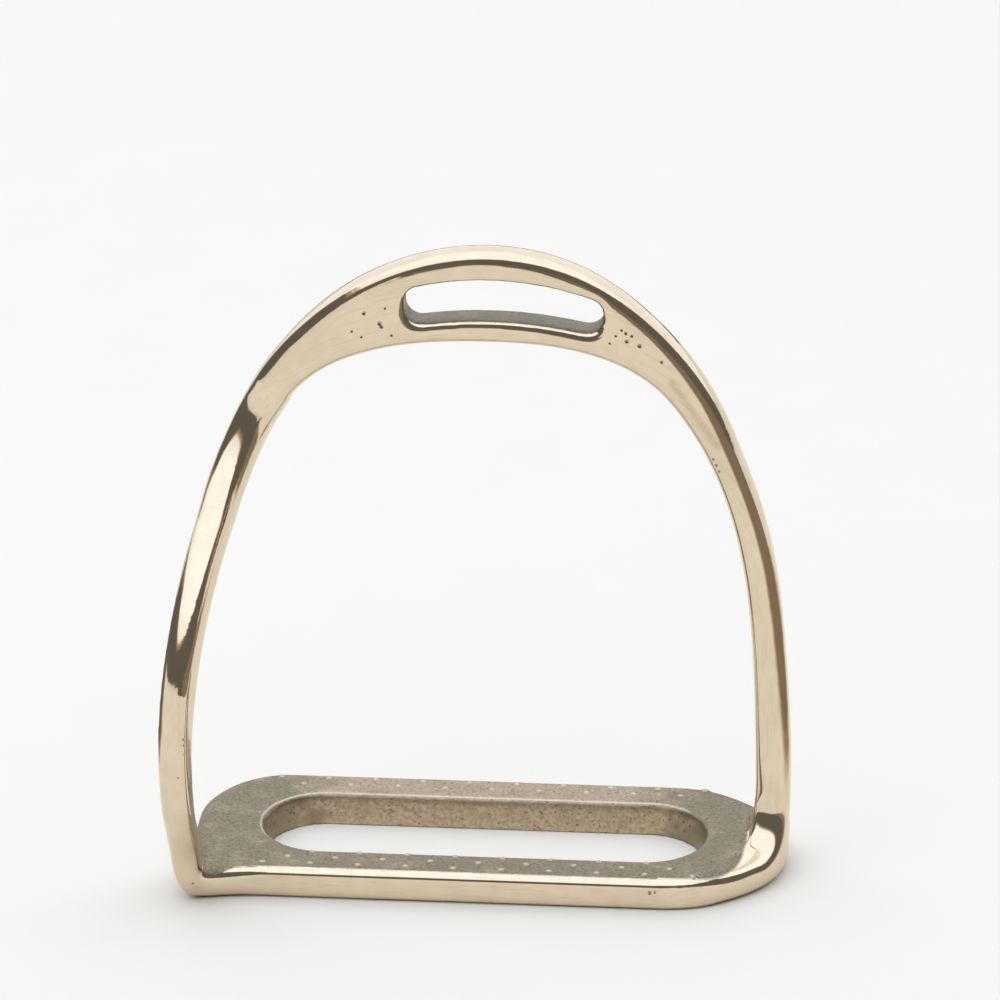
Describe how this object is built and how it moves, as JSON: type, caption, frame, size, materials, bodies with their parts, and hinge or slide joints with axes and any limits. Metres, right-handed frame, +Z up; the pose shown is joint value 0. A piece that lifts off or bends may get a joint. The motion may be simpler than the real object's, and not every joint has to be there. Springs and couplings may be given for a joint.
{
  "type": "stirrup iron",
  "caption": "Bent-leg safety stirrup iron: arched crown with a slotted eye, one straight and one forward-bowed branch, slotted tread with raised grip points.",
  "frame": {"origin": "middle of the tread slot, level with the underside of the tread, on the ground when the iron stands", "axes": "+Z up to the eye, +X towards the straight branch, -Y the front, where the bent branch bows out"},
  "size_m": [0.1365, 0.0668, 0.1477],
  "materials": {
    "polished_nickel": "hand-polished nickel silver, warm white",
    "satin_nickel": "satin nickel silver, dull and slightly rough as cast"
  },
  "bodies": {
    "root": {"crown_eye": "polished_nickel", "straight_branch": "polished_nickel", "bent_branch": "polished_nickel", "tread": "satin_nickel"}
  },
  "joints": []
}
